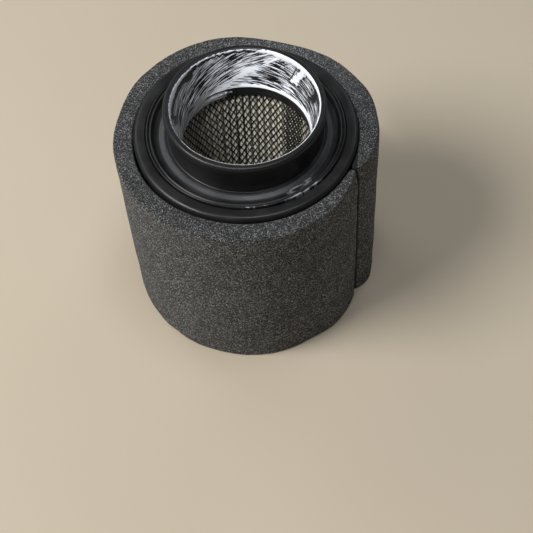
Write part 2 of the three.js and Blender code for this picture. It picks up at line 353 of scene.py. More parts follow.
def diamond_sheet(name, radius, columns, rows, height, start_angle=0.0, turns=1.0):
    """A rolled sheet of expanded metal: one slit diamond, copied up and round."""
    pitch = 2 * math.pi / columns
    half_width = radius * math.tan(pitch / 2)
    half_height = height / rows / 2
    clear_selection()
    bpy.ops.mesh.primitive_circle_add(
        vertices=4, radius=MM, fill_type="NGON", location=(radius * MM, 0, 0),
        rotation=(0, math.pi / 2, 0),
    )
    piece = name_piece(name)
    settle(piece)
    edit(piece)
    bpy.ops.mesh.select_all(action="SELECT")
    bpy.ops.transform.resize(
        value=(1, half_width, half_height), center_override=(radius * MM, 0, 0)
    )
    bpy.ops.mesh.inset(thickness=STRAND / 2 * MM, depth=0)
    bpy.ops.mesh.delete(type="FACE")
    # Each strand is twisted a little by the slitting: a hole's foot stands in and its head out.
    for end in (-1, 1):
        pick_points(piece, lambda p: 0.2 < p.z * end < half_height * 0.97 and abs(p.y) < 0.1)
        bpy.ops.transform.translate(value=(end * STRAND_TWIST * MM, 0, 0))
    bpy.ops.mesh.select_all(action="SELECT")
    bpy.ops.mesh.duplicate()
    bpy.ops.transform.translate(value=(0, 0, half_height * MM))
    bpy.ops.object.mode_set(mode="OBJECT")
    # The copy stands half a pitch round from the first.
    points = places(piece)
    copies = np.arange(len(points)) >= len(points) // 2
    spread, angle = polar(points)
    points = at_polar(spread, angle + copies * math.degrees(pitch) / 2, points[:, 2])
    put_places(piece, points + [0, 0, core_low.z + half_height])
    modify(
        piece, "ARRAY", count=rows, use_relative_offset=False, use_constant_offset=True,
        constant_offset_displace=(0, 0, 2 * half_height * MM),
        use_merge_vertices=True, merge_threshold=WELD * MM,
    )
    copy_round(piece, round(columns * turns), pitch, turns == 1, WELD)
    edit(piece)
    bpy.ops.mesh.select_all(action="SELECT")
    bpy.ops.mesh.remove_doubles(threshold=WELD * MM)
    bpy.ops.mesh.normals_make_consistent(inside=False)
    bpy.ops.object.mode_set(mode="OBJECT")
    points = places(piece)
    spread, angle = polar(points)
    points = at_polar(spread, angle + start_angle, np.minimum(points[:, 2], core_high.z))
    put_places(piece, points)
    modify(piece, "SOLIDIFY", thickness=SHEET * MM, offset=1)
    return piece


def make_inner_liner():
    """Inner liner, with the short stretch where the rolled sheet laps over itself."""
    height = core_high.z - core_low.z
    columns = round(2 * math.pi * CORE_RADIUS / DIAMOND_WIDTH)
    rows = round(height / DIAMOND_HEIGHT)
    liner = diamond_sheet("inner_mesh", CORE_RADIUS, columns, rows, height)
    lap = diamond_sheet(
        "inner_mesh_lap", CORE_RADIUS + SHEET + 0.05, columns, rows, height,
        start_angle=360 / columns * LAP_OFFSET, turns=LAP_ANGLE / 360,
    )
    return liner, lap


def make_outer_liner():
    """Outer liner, cut from a slightly coarser sheet."""
    height = cage_high.z - cage_low.z
    columns = round(2 * math.pi * CAGE_RADIUS / DIAMOND_WIDTH / OUTER_COARSENESS)
    rows = round(height / DIAMOND_HEIGHT / OUTER_COARSENESS)
    return diamond_sheet("outer_mesh", CAGE_RADIUS, columns, rows, height)


# ---------------------------------------------------------------- paper


def make_paper():
    """Pleated paper: one pleat drawn in plan with rounded folds, stood up and copied round."""
    inner = CORE_RADIUS + SHEET * 2 + 0.35
    outer = CAGE_RADIUS - 0.5
    pitch = 360 / PLEATS

    def plan(radius, angle):
        turn = math.radians(angle)
        return (radius * math.cos(turn), radius * math.sin(turn), core_low.z)

    inner_half = math.degrees(INNER_FOLD / inner)
    outer_half = math.degrees(OUTER_FOLD / outer)
    line = [
        plan(outer, 0),
        plan(outer, outer_half),
        plan(inner, pitch / 2 - inner_half),
        plan(inner, pitch / 2 + inner_half),
        plan(outer, pitch - outer_half),
        plan(outer, pitch),
    ]
    piece = draw_line("pleated_paper", line)
    corners = [Vector(point) for point in line[1:-1]]
    pick_points(piece, lambda place: any((place - c).length < 0.01 for c in corners))
    bpy.ops.mesh.bevel(offset=FOLD_ROUNDING * MM, segments=4, affect="VERTICES")
    bpy.ops.mesh.select_all(action="SELECT")
    levels = 8
    rise = (core_high.z - core_low.z) / levels * MM
    for _ in range(levels):
        bpy.ops.mesh.extrude_edges_move(TRANSFORM_OT_translate={"value": (0, 0, rise)})
    bpy.ops.object.mode_set(mode="OBJECT")
    copy_round(piece, PLEATS, math.radians(pitch), True, 0.02)
    edit(piece)
    finish_shell(tolerance=0.02)
    # No pleat stands quite straight, and the strip's cut ends stop short of the clip's back.
    points = places(piece)
    spread, angle = polar(points)
    pleat = np.floor(angle / pitch)
    middle = np.sin(math.pi * (points[:, 2] - core_low.z) / (core_high.z - core_low.z))
    lean = (grain(pleat * 0.61, points[:, 2] / 45, 3) - 0.5) * 2.2
    inward = ease(outer - spread, 0, outer - inner)
    join = abs(apart(angle, JOIN_ANGLE)) < 1.4
    spread = np.where(join, np.minimum(spread, outer - 1.1), spread)
    angle = angle + JOIN_ANGLE % pitch + lean * middle * inward
    put_places(piece, at_polar(spread, angle, points[:, 2]))
    modify(piece, "SOLIDIFY", thickness=PAPER * MM, offset=0)
    smooth(50)
    return piece


# ---------------------------------------------------------------- foam


def front_end_radius(height):
    """Radius of the strip's front end, which stands proud of the rear end behind it."""
    down = np.clip(1 - height / foam_high.z, 0, 1)
    return FRONT_END_RADIUS + 2.2 * down - 1.2 * ease(height, 86, 96)


def foam_outer_radius(angle, height):
    """Outside of the wrapped strip: hand-wrapped swells, and ends that turn in to the seam."""
    down = np.clip(1 - height / foam_high.z, 0, 1)
    radius = np.full_like(angle, FOAM_OUTER_RADIUS)
    for centre, amount, spread in FOAM_SWELLS:
        radius += amount * np.exp(-((apart(angle, centre) / spread) ** 2))
    # The foot stands out at the right, where the strip ends, and is drawn in elsewhere.
    foot = 2.6 * np.exp(-((apart(angle, -5) / 40) ** 2)) - 1.1
    foot -= 0.5 * np.exp(-((apart(angle, 180) / 50) ** 2))
    radius += foot * down**1.2
    turned_by = (angle - SEAM_ANGLE) % 360
    to_front = 360 - turned_by
    clear_of_seam = np.maximum(turned_by - 1.0, 0)
    behind = np.sin(math.pi / 2 * np.minimum(clear_of_seam / (REAR_REACH - 14 * down), 1)) ** 0.7
    in_front = np.sin(math.pi / 2 * np.minimum(to_front / FRONT_REACH, 1))
    front_end = front_end_radius(height)
    from_corner = 1 - np.minimum(to_front / CORNER_REACH, 1)
    corner = 0.9 * (1 - np.sqrt(1 - from_corner**2))
    rear = SEAM_OUTER_RADIUS + (radius - SEAM_OUTER_RADIUS) * behind
    front = front_end + (radius - front_end) * in_front - corner
    return np.minimum(rear, front)


def foam_inner_radius(angle, height):
    """Inside of the strip: against the outer liner, lifted at the seam, gaping at the top behind."""
    turned_by = (angle - SEAM_ANGLE) % 360
    from_end = np.minimum(turned_by, 360 - turned_by)
    settled = np.sin(math.pi / 2 * np.minimum(from_end / INNER_REACH, 1))
    gaping = 0.8 * np.exp(-((apart(angle, -148) / 26) ** 2)) * ease(height, 70, 95)
    return SEAM_INNER_RADIUS + (FOAM_INNER_RADIUS - SEAM_INNER_RADIUS) * settled + gaping


def make_foam():
    """The wrapped foam strip: its cut section swept round from one side of the seam to the other."""
    top = foam_high.z
    thick = FOAM_OUTER_RADIUS - FOAM_INNER_RADIUS
    outline = [
        (FOAM_INNER_RADIUS, 0), (FOAM_OUTER_RADIUS, 0),
        (FOAM_OUTER_RADIUS, top), (FOAM_INNER_RADIUS, top),
    ]
    points = [(radius, 0, height) for radius, height in outline]
    piece = draw_line("foam_wrap", points + points[:1])
    bpy.ops.mesh.remove_doubles(threshold=0.001 * MM)
    for radius, rounding in (
        (FOAM_OUTER_RADIUS, OUTER_ROUNDING), (FOAM_INNER_RADIUS, INNER_ROUNDING)
    ):
        pick_points(piece, lambda place: abs(place.x - radius) < 0.01)
        bpy.ops.mesh.bevel(offset=rounding * MM, segments=4, affect="VERTICES")
    pick_points(piece, lambda place: place.x > FOAM_OUTER_RADIUS - 0.01)
    bpy.ops.mesh.subdivide(number_cuts=OUTSIDE_CUTS)
    pick_points(piece, lambda place: place.x < FOAM_INNER_RADIUS + 0.01)
    bpy.ops.mesh.subdivide(number_cuts=INSIDE_CUTS)
    for level in (0, top):
        pick_points(piece, lambda place: abs(place.z - level) < 0.01)
        bpy.ops.mesh.subdivide(number_cuts=END_CUTS)
    bpy.ops.mesh.select_all(action="SELECT")
    slot = SEAM_SLOT / SEAM_INNER_RADIUS
    bpy.ops.mesh.spin(
        steps=STATIONS, angle=2 * math.pi - slot, center=(0, 0, 0), axis=(0, 0, 1)
    )
    bpy.ops.mesh.select_all(action="DESELECT")
    bpy.ops.mesh.select_non_manifold()
    bpy.ops.mesh.edge_face_add()
    finish_shell()
    points = places(piece)
    spread, angle = polar(points)
    share = (spread - FOAM_INNER_RADIUS) / thick
    # The turning ran clockwise. Stations crowd towards both ends, where the foam turns in.
    whole = 360 - math.degrees(slot)
    sweep = (-angle % 360) / whole
    sweep = np.where(sweep > 1.0005, 0, sweep)
    eased = sweep - STATION_CROWDING * np.sin(2 * math.pi * sweep) / (2 * math.pi)
    angle = SEAM_ANGLE - math.degrees(slot) / 2 - eased * whole
    height = points[:, 2]
    inner, outer = foam_inner_radius(angle, height), foam_outer_radius(angle, height)
    # The cut wall is a little uneven.
    lumps = grain(angle / 7 + 60, height / 9, 1) - 0.75
    lumps += 0.5 * grain(angle / 3 + 130, height / 4, 2)
    outer = outer + lumps * 0.35
    spread = inner + share * (outer - inner)
    put_places(piece, at_polar(spread, angle, height))
    # Glue soaked both ends, and the dark line behind the seam is glue and painted shade in the slot.
    # The front end's corner is painted pale: a painted highlight.
    turned_by = (angle - SEAM_ANGLE) % 360
    past_corner = spread * np.cos(np.radians(angle + GLUE_AND_SHADE_LEAN))
    past_corner -= front_end_radius(height) * math.cos(math.radians(SEAM_ANGLE + GLUE_AND_SHADE_LEAN))
    glue_and_painted_light = ease(GLUE_AND_SHADE_LINE - past_corner, 0, 0.2) * (turned_by < 12)
    glue_and_painted_light = np.maximum(glue_and_painted_light, ease(turned_by, 359.2, 359.3) * (share < 0.9))
    glue_and_painted_light -= ease(turned_by, 357.6, 358.4) * (share > 0.93)
    give_attribute(piece, "glue_and_painted_light", glue_and_painted_light)
    smooth(60)
    return piece


# ---------------------------------------------------------------- grease


def grease_cover(around, up):
    """How well the brush covered the neck's inside: below 0 is bare, 1 is solid white.

    around is the way along the wall from its back, to the right as seen from inside, in
    millimetres; up is the way from the throat to the rim as a share. The second result tells the
    two brush directions apart, and the third is 1 where a smooth grey film was left.
    """
    rise = up * 20
    patchy = grain(around / 5 + 40, rise / 4 + 10, 11) - 0.5
    # A loaded stroke climbs from the throat at the left to the rim at the right, getting steeper.
    run = around + 10.7
    climb = 1.4 + 0.37 * run + 0.0095 * np.maximum(run, 0) ** 2
    crossing = rise - climb
    stroke = np.exp(-((crossing / 1.7) ** 2)) * ease(around, -22, -8) * ease(26 - around, 0, 8)
    rising = ease(crossing, -1.2, 0.6) * ease(24 - around, 0, 8) + ease(-around, 14, 20)
    rising = np.clip(rising, 0, 1)
    cover = np.where(rising > 0.5, 0.46, 0.35) + 0.3 * patchy
    cover -= 0.2 * ease(-around, 12, 24) * ease(0.6 - up, 0, 0.15)
    thinned = 0.12 * ease(around, 3, 6) * ease(16 - around, 0, 5) * ease(0.75 - up, 0, 0.2)
    cover -= thinned * (1 - rising)
    cover -= 0.16 * ease(around, 24, 30)
    cover += 0.5 * stroke
    # The rim carries a white band: thin at the back, thick at the right back, wide at the left.
    band = 0.985 - 0.15 * ease(-around, 17, 46) - 0.05 * ease(around, 7, 12)
    band += 0.03 * ease(around, 34, 48)
    band += 0.16 * ease(-around, 50, 62)
    band += 0.05 * (grain(around / 1.3 + 90, np.ones_like(rise), 13) - 0.5)
    cover += ease(up, band - 0.02, band + 0.02)
    cover -= 1.8 * ease(up, 1.004, 1.02) * ease(around, -72, -60) * ease(14 - around, 0, 8)
    cover -= 0.45 * ease(0.03 - abs(up - band + 0.045), 0, 0.015) * ease(8 - around, 0, 4)
    # At the right back a blob hangs from it, beside a bare slit and a row of short ticks.
    ragged = (grain(around * 1.2 + 90, rise * 1.1, 17) - 0.5) * 1.8
    blob = ease(2.0 + ragged - abs(around - 25.2 - (up - 0.5) * 9), 0, 0.5)
    blob *= ease(up + ragged * 0.04, 0.45, 0.5)
    slit = ease(0.3 - abs(around - 22.5 - (up - 0.47) * 6.3), 0, 0.25) * ease(up, 0.46, 0.5)
    cover += blob - 2.2 * slit * ease(0.9 - up, 0, 0.03)
    wander = 2 * grain(around / 2 + 40, rise / 3, 29)
    tick = np.cos((around - (up - 0.8) * 26) * 2 * math.pi / 2.3 + wander)
    comb = ease(up, 0.64, 0.8) * ease(0.93 - up, 0, 0.06)
    comb *= ease(around, 9, 14) * ease(23 - around, 0, 4)
    cover += comb * (0.08 + 0.24 * tick)
    # A bead runs along the throat on the right, and smooth grey film lies on the left.
    bead = 0.07 + 0.07 * ease(around, 20, 46)
    cover += ease(bead + 0.02 - up, 0, 0.03) * ease(around, -4, 4)
    cover += 0.35 * ease(0.2 - up, 0, 0.12) * ease(around, -14, -6) * ease(5 - around, 0, 6)
    bare_line = 0.92 - 0.0085 * (-around - 21)
    low_side = np.clip(0.65 - 0.0125 * (-around - 19.5), 0.36, 0.7)
    smear = ease(up, low_side, low_side + 0.14) * ease(bare_line - 0.02 - up, 0, 0.03)
    smear *= ease(-around, 19, 23)
    smear = np.maximum(smear, ease(0.16 - up, 0, 0.06) * ease(-around, 6, 13))
    smear *= ease(around, -80, -60)
    cover -= smear * 0.25
    bare = ease(0.065 - abs(up - bare_line), 0, 0.025)
    bare *= ease(-around, 19.5, 23) * ease(48 + around, 0, 3)
    cover -= bare * 2.5
    # Round the front the tube had wiped it thin. A little was dragged over the throat's edge.
    wiped = 0.16 * ease(abs(around), 60, 78) + 0.5 * ease(abs(around), 72, 90)
    cover -= wiped * ease(0.92 - up, 0, 0.05)
    left_film = ease(-around, 5, 12) * ease(around, -85, -60)
    fringe = ease(0.05 - abs(up + 0.12), 0, 0.03)
    fringe *= ease(around, -20, -16) * ease(-4 - around, 0, 4)
    crease = ease(0.025 - abs(up + 0.035), 0, 0.012)
    crease *= ease(around, -21, -16) * ease(6 - around, 0, 5)
    strings = grain(around * 1.4 + 40, rise * 1.6 + 10, 23) - 0.35
    below = 0.45 * left_film - 0.3 + fringe * (0.6 + 1.8 * strings) - crease
    cover = np.where(up < -0.004, below, cover)
    smear = np.where(up < -0.004, left_film, smear)
    return cover, rising, smear


def make_grease():
    """A brushed film of grease on the neck's inner wall and over its rim, thicker where it is white."""
    buried = 0.12
    wall = [
        (THROAT_RADIUS + 0.12, GREASE_FOOT_Z), (THROAT_RADIUS, THROAT_Z),
        (RIM_RADIUS - 0.03, GREASE_TOP_Z),
        (RIM_RADIUS + 0.06, NECK_TOP - 0.2), (RIM_RADIUS + 0.26, NECK_TOP - 0.04),
    ]
    piece = draw_line("assembly_grease", [(radius, 0, z) for radius, z in wall])
    pick_points(piece, lambda place: THROAT_Z - 0.01 < place.z < GREASE_TOP_Z + 0.01)
    bpy.ops.mesh.subdivide(number_cuts=GREASE_WALL_CUTS)
    pick_points(piece, lambda place: place.z < THROAT_Z + 0.01)
    bpy.ops.mesh.subdivide(number_cuts=GREASE_FOOT_CUTS)
    bpy.ops.mesh.select_all(action="SELECT")
    bpy.ops.mesh.spin(steps=GREASE_STEPS, angle=2 * math.pi, center=(0, 0, 0), axis=(0, 0, 1))
    finish_shell()
    points = places(piece)
    spread, angle = polar(points)
    # The grid is finest at the back of the neck, where the brush marks lie open to view.
    angle = 90 + apart(angle, 90) - 22 * np.sin(np.radians(apart(angle, 90)))
    up = (points[:, 2] - THROAT_Z) / (GREASE_TOP_Z - THROAT_Z)
    around = -np.radians(apart(angle, 90)) * WALL_RADIUS
    cover, rising, smear = grease_cover(around, up)
    depth = np.clip(0.02 + 0.22 * cover, -buried, 0.3)
    turn = ease(points[:, 2], GREASE_TOP_Z - 0.1, NECK_TOP) * math.pi / 2
    spread = spread - np.cos(turn) * depth
    put_places(piece, at_polar(spread, angle, points[:, 2] + np.sin(turn) * depth * 0.4))
    give_attribute(piece, "cover", cover)
    give_attribute(piece, "rising", rising)
    give_attribute(piece, "smear", smear)
    return piece


# ---------------------------------------------------------------- material helpers


def add(tree, kind, inputs=(), **settings):
    """A shader node with its settings, and each input linked or set."""
    made = tree.nodes.new("ShaderNode" + kind)
    for key, value in settings.items():
        setattr(made, key, value)
    for key, value in dict(inputs).items():
        if isinstance(value, bpy.types.NodeSocket):
            tree.links.new(value, made.inputs[key])
        else:
            made.inputs[key].default_value = value
    return made


def calc(tree, operation, first, second=0.0, third=0.0):
    return add(tree, "Math", {0: first, 1: second, 2: third}, operation=operation).outputs[0]


def remap(tree, value, low, high, to_low=0.0, to_high=1.0):
    inputs = {"Value": value, "From Min": low, "From Max": high, "To Min": to_low, "To Max": to_high}
    return add(tree, "MapRange", inputs, interpolation_type="SMOOTHSTEP").outputs[0]


def blend_colours(tree, factor, first, second):
    inputs = {"Factor": factor, 6: first, 7: second}
    return add(tree, "Mix", inputs, data_type="RGBA").outputs[2]


def noise_value(tree, vector, scale, detail=3.0, roughness=0.55):
    inputs = {"Vector": vector, "Scale": scale, "Detail": detail, "Roughness": roughness}
    return add(tree, "TexNoise", inputs).outputs[0]


def new_group(name, inputs, outputs):
    """A shader node group with named sockets; gives its tree, inputs node and outputs node."""
    tree = bpy.data.node_groups.new(name, "ShaderNodeTree")
    for label, kind, value in inputs:
        socket = tree.interface.new_socket(
            name=label, in_out="INPUT", socket_type="NodeSocket" + kind
        )
        if value is not None:
            socket.default_value = value
    for label, kind in outputs:
        tree.interface.new_socket(name=label, in_out="OUTPUT", socket_type="NodeSocket" + kind)
    return tree, tree.nodes.new("NodeGroupInput"), tree.nodes.new("NodeGroupOutput")


def use_group(tree, group, inputs):
    node = tree.nodes.new("ShaderNodeGroup")
    node.node_tree = group
    for key, value in inputs.items():
        if isinstance(value, bpy.types.NodeSocket):
            tree.links.new(value, node.inputs[key])
        else:
            node.inputs[key].default_value = value
    return node.outputs


def new_material(name, **constants):
    """A material with its Principled shader; constants are set on the shader's own sockets."""
    material = bpy.data.materials.new(name)
    material.use_nodes = True
    tree = material.node_tree
    shader = tree.nodes["Principled BSDF"]
    for key, value in constants.items():
        shader.inputs[key.replace("_", " ").title().replace("Ior", "IOR")].default_value = value
    place = add(tree, "TexCoord").outputs["Object"]
    return material, tree, shader, place


def bump(tree, height, distance, strength):
    inputs = {"Height": height, "Distance": distance * MM, "Strength": strength}
    return add(tree, "Bump", inputs).outputs[0]


# ---------------------------------------------------------------- shared finishes


def make_mottle_group():
    """Slow uneven patches with a finer grain over them, for dust, handling marks and dye."""
    inputs = [
        ("Vector", "Vector", None), ("Patch Scale", "Float", 120.0), ("Grain Scale", "Float", 2500.0),
    ]
    outputs = [("Patches", "Float"), ("Grain", "Float")]
    tree, given, out = new_group("uneven finish", inputs, outputs)
    vector = given.outputs["Vector"]
    tree.links.new(noise_value(tree, vector, given.outputs["Patch Scale"]), out.inputs["Patches"])
    tree.links.new(noise_value(tree, vector, given.outputs["Grain Scale"], 2.0), out.inputs["Grain"])
    return tree


def make_streaks_group():
    """Brush marks on the wall of the neck: long thin streaks, climbing round it at a slope."""
    inputs = [("Vector", "Vector", None), ("Turn", "Float", -0.4), ("Pitch", "Float", 0.5)]
    tree, given, out = new_group("brushed streaks", inputs, [("Streaks", "Float")])
    parts = add(tree, "SeparateXYZ", {0: given.outputs["Vector"]}).outputs
    turn = calc(tree, "ARCTAN2", parts[0], parts[1])
    along = calc(tree, "MULTIPLY", turn, float(WALL_RADIUS))
    rise = calc(tree, "MULTIPLY", calc(tree, "SUBTRACT", parts[2], THROAT_Z * MM), 1000.0)
    laid = add(tree, "CombineXYZ", {0: along, 1: rise, 2: 0.0}).outputs[0]
    turned_way = add(
        tree, "VectorRotate", {"Vector": laid, "Angle": given.outputs["Turn"]},
        rotation_type="Z_AXIS",
    ).outputs[0]
    streak_parts = add(tree, "SeparateXYZ", {0: turned_way}).outputs
    across = calc(tree, "DIVIDE", streak_parts[1], given.outputs["Pitch"])
    bristles = add(
        tree, "CombineXYZ", {0: calc(tree, "MULTIPLY", streak_parts[0], 0.11), 1: across, 2: 0.0}
    ).outputs[0]
    value = noise_value(tree, bristles, 1.0, 3.0, 0.5)
    tree.links.new(remap(tree, value, 0.37, 0.63), out.inputs["Streaks"])
    return tree


def make_cells_group():
    """Open-cell foam: a net of thin struts round pores, in two cell sizes, with bright flecks; the dark
    pores are painted shade and the flecks are painted glints.
    """
    inputs = [
        ("Vector", "Vector", None), ("Net Scale", "Float", 1900.0),
        ("Fine Net Scale", "Float", 3300.0), ("Speck Scale", "Float", 3200.0),
    ]
    outputs = [("Struts", "Float"), ("Glints", "Float"), ("Height", "Float"), ("Facing", "Float")]
    tree, given, out = new_group("open cells", inputs, outputs)
    wobble = add(tree, "TexNoise", {"Vector": given.outputs["Vector"], "Scale": 1100.0, "Detail": 1.0})
    moved = add(
        tree, "VectorMath",
        {0: wobble.outputs[1], 1: (0.0005, 0.0005, 0.0005), 2: given.outputs["Vector"]},
        operation="MULTIPLY_ADD",
    ).outputs[0]
    big = add(
        tree, "TexVoronoi", {"Vector": moved, "Scale": given.outputs["Net Scale"]},
        feature="DISTANCE_TO_EDGE",
    )
    small = add(
        tree, "TexVoronoi", {"Vector": moved, "Scale": given.outputs["Fine Net Scale"]},
        feature="DISTANCE_TO_EDGE",
    )
    big_struts = remap(tree, big.outputs["Distance"], 0.22, 0.03)
    small_struts = remap(tree, small.outputs["Distance"], 0.2, 0.04)
    struts = calc(tree, "MAXIMUM", big_struts, calc(tree, "MULTIPLY", small_struts, 0.6))
    # Each speck of net faces its own way: some catch the light and some lie dark.
    specks = add(
        tree, "TexVoronoi", {"Vector": moved, "Scale": given.outputs["Speck Scale"]}
    ).outputs["Color"]
    chance = add(tree, "SeparateXYZ", {0: specks}).outputs[0]
    tree.links.new(struts, out.inputs["Struts"])
    tree.links.new(remap(tree, chance, 0.78, 0.99), out.inputs["Glints"])
    tree.links.new(calc(tree, "MULTIPLY_ADD", chance, 0.8, struts), out.inputs["Height"])
    tree.links.new(remap(tree, chance, 0.0, 0.75, 0.0, 1.5), out.inputs["Facing"])
    return tree


# ---------------------------------------------------------------- materials


def foam_material(cells, mottle):
    material, tree, shader, place = new_material(
        "charcoal foam", roughness=0.95, specular_ior_level=0.12, sheen_weight=0.12,
        sheen_roughness=0.6,
    )
    cell = use_group(
        tree, cells,
        {"Vector": place, "Net Scale": 1900.0, "Fine Net Scale": 3300.0, "Speck Scale": 3200.0},
    )
    patches = use_group(tree, mottle, {"Vector": place, "Patch Scale": 71.4, "Grain Scale": 1111})
    # The pores between the struts are painted near black: painted shade in the open cells. Bright
    # specks are painted glints.
    net = blend_colours(tree, cell["Struts"], (0.006, 0.006, 0.006, 1), (0.124, 0.127, 0.133, 1))
    lit = blend_colours(tree, cell["Glints"], net, (0.46, 0.465, 0.475, 1))
    broad = remap(tree, patches["Patches"], 0.3, 0.7, 0.88, 1.1)
    shade = calc(
        tree, "MULTIPLY", calc(tree, "MULTIPLY", broad, cell["Facing"]),
        remap(tree, patches["Grain"], 0.36, 0.64, 0.88, 1.12),
    )
    # The top face is painted darker than the sides: painted shade.
    height = add(tree, "SeparateXYZ", {0: place}).outputs[2]
    painted_top_shade = remap(
        tree, height, (foam_high.z - 1.2) * MM, (foam_high.z - 0.4) * MM, 1.06, 0.8
    )
    shade = calc(tree, "MULTIPLY", shade, painted_top_shade)
    glue_and_painted_light = add(tree, "Attribute", attribute_name="glue_and_painted_light").outputs["Fac"]
    # Below 0 the mark brightens the front end's corner: a painted highlight.
    shade = calc(tree, "MULTIPLY", shade, remap(tree, glue_and_painted_light, -1.0, 0.0, 1.7, 1.0))
    toned = add(tree, "VectorMath", {0: lit, "Scale": shade}, operation="SCALE").outputs[0]
    # Above 0 it darkens the foam to near black: glue on the ends, and painted shade in the slot behind
    # the seam.
    glue_and_painted_shade = remap(tree, glue_and_painted_light, 0.0, 1.0, 0.0, 0.95)
    toned = blend_colours(tree, glue_and_painted_shade, toned, (0.003, 0.003, 0.003, 1))
    tree.links.new(toned, shader.inputs["Base Color"])
    tree.links.new(bump(tree, cell["Height"], 0.45, 0.9), shader.inputs["Normal"])
    return material


def urethane_material(mottle):
    material, tree, shader, place = new_material(
        "black moulded urethane", specular_ior_level=0.45,
    )
    uneven = use_group(tree, mottle, {"Vector": place, "Patch Scale": 111.1, "Grain Scale": 2857})
    colour = blend_colours(
        tree, remap(tree, uneven["Patches"], 0.35, 0.7), (0.013, 0.013, 0.014, 1),
        (0.021, 0.021, 0.022, 1),
    )
    # White grease wiped onto the beads and the slope at the front right.
    parts = add(tree, "SeparateXYZ", {0: place}).outputs
    angle = calc(tree, "ARCTAN2", parts[1], parts[0])
    across = calc(tree, "MULTIPLY", parts[0], parts[0])
    radius = calc(tree, "SQRT", calc(tree, "MULTIPLY_ADD", parts[1], parts[1], across))
    wipe_place = add(
        tree, "CombineXYZ",
        {0: calc(tree, "MULTIPLY", angle, 12.0), 1: calc(tree, "MULTIPLY", radius, 1300.0), 2: 0.3},
    ).outputs[0]
    strokes = noise_value(tree, wipe_place, 1.0, 4.0, 0.6)

    def stretch(from_angle, to_angle, inner, outer, gate):
        """A ragged smudge between two angles in degrees and two radii in millimetres."""
        middle = math.radians((from_angle + to_angle) / 2)
        half = math.radians((to_angle - from_angle) / 2)
        off = calc(tree, "ABSOLUTE", calc(tree, "SUBTRACT", angle, middle))
        round_part = remap(tree, off, half, half * 0.5)
        centre, reach = (inner + outer) / 2 * MM, (outer - inner) / 2 * MM
        aside = calc(tree, "ABSOLUTE", calc(tree, "SUBTRACT", radius, centre))
        radial_part = remap(tree, aside, reach, reach * 0.6)
        ragged = remap(tree, strokes, gate, gate + 0.07)
        return calc(tree, "MULTIPLY", calc(tree, "MULTIPLY", round_part, radial_part), ragged)

    wipes = calc(tree, "MULTIPLY", stretch(-68, -42, 36.6, 39.4, 0.5), 0.5)
    for other in (stretch(-70, -43, 41.7, 43.1, 0.44), stretch(-105, -64, 41.8, 43.0, 0.6)):
        wipes = calc(tree, "MAXIMUM", wipes, other)
    # A grey band is painted round the neck's foot, least of it at the right: partly grease residue,
    # partly a painted sheen where the slope catches the light. The neck's outer wall is painted darker:
    # painted shade.
    from_neck = remap(tree, radius, (NECK_FOOT_RADIUS + 0.6) * MM, (NECK_FOOT_RADIUS + 2.0) * MM)
    to_slope = remap(tree, radius, (NECK_FOOT_RADIUS + 5.0) * MM, (NECK_FOOT_RADIUS + 3.6) * MM)
    foot = calc(tree, "MULTIPLY", from_neck, to_slope)
    facing_left = calc(tree, "COSINE", calc(tree, "ADD", angle, math.radians(130)))
    foot = calc(tree, "MULTIPLY", foot, remap(tree, facing_left, -0.5, 0.6, 0.2, 1.0))
    foot = calc(tree, "MULTIPLY", foot, remap(tree, strokes, 0.35, 0.65, 0.55, 1.0))
    up_neck = remap(tree, parts[2], (CAP_TOP + 1.1) * MM, (CAP_TOP + 3.9) * MM)
    outside = remap(tree, radius, (NECK_FOOT_RADIUS - 0.6) * MM, (NECK_FOOT_RADIUS - 0.2) * MM)
    wall = calc(tree, "MULTIPLY", up_neck, outside)
    # Painted shade: the neck's outer wall is darkened towards black.
    colour = blend_colours(tree, calc(tree, "MULTIPLY", wall, 0.7), colour, (0.004, 0.004, 0.005, 1))
    above = remap(tree, parts[2], (CAP_TOP - 2.5) * MM, (CAP_TOP - 2.2) * MM)
    below = remap(tree, parts[2], (CAP_TOP + 2) * MM, (CAP_TOP + 1.5) * MM)
    near_top = calc(tree, "MULTIPLY", above, below)
    wipes = calc(tree, "MULTIPLY", wipes, near_top)
    foot = calc(tree, "MULTIPLY", foot, near_top)
    # The grey band round the neck's foot: grease residue and painted sheen, strongest towards the left
    # where the light falls.
    colour = blend_colours(tree, calc(tree, "MULTIPLY", foot, 0.55), colour, (0.085, 0.09, 0.1, 1))
    colour = blend_colours(tree, calc(tree, "MULTIPLY", wipes, 0.75), colour, (0.6, 0.62, 0.66, 1))
    tree.links.new(colour, shader.inputs["Base Color"])
    rough = remap(tree, uneven["Patches"], 0.3, 0.7, 0.3, 0.42)
    tree.links.new(rough, shader.inputs["Roughness"])
    tree.links.new(bump(tree, uneven["Grain"], 0.03, 0.5), shader.inputs["Normal"])
    return material


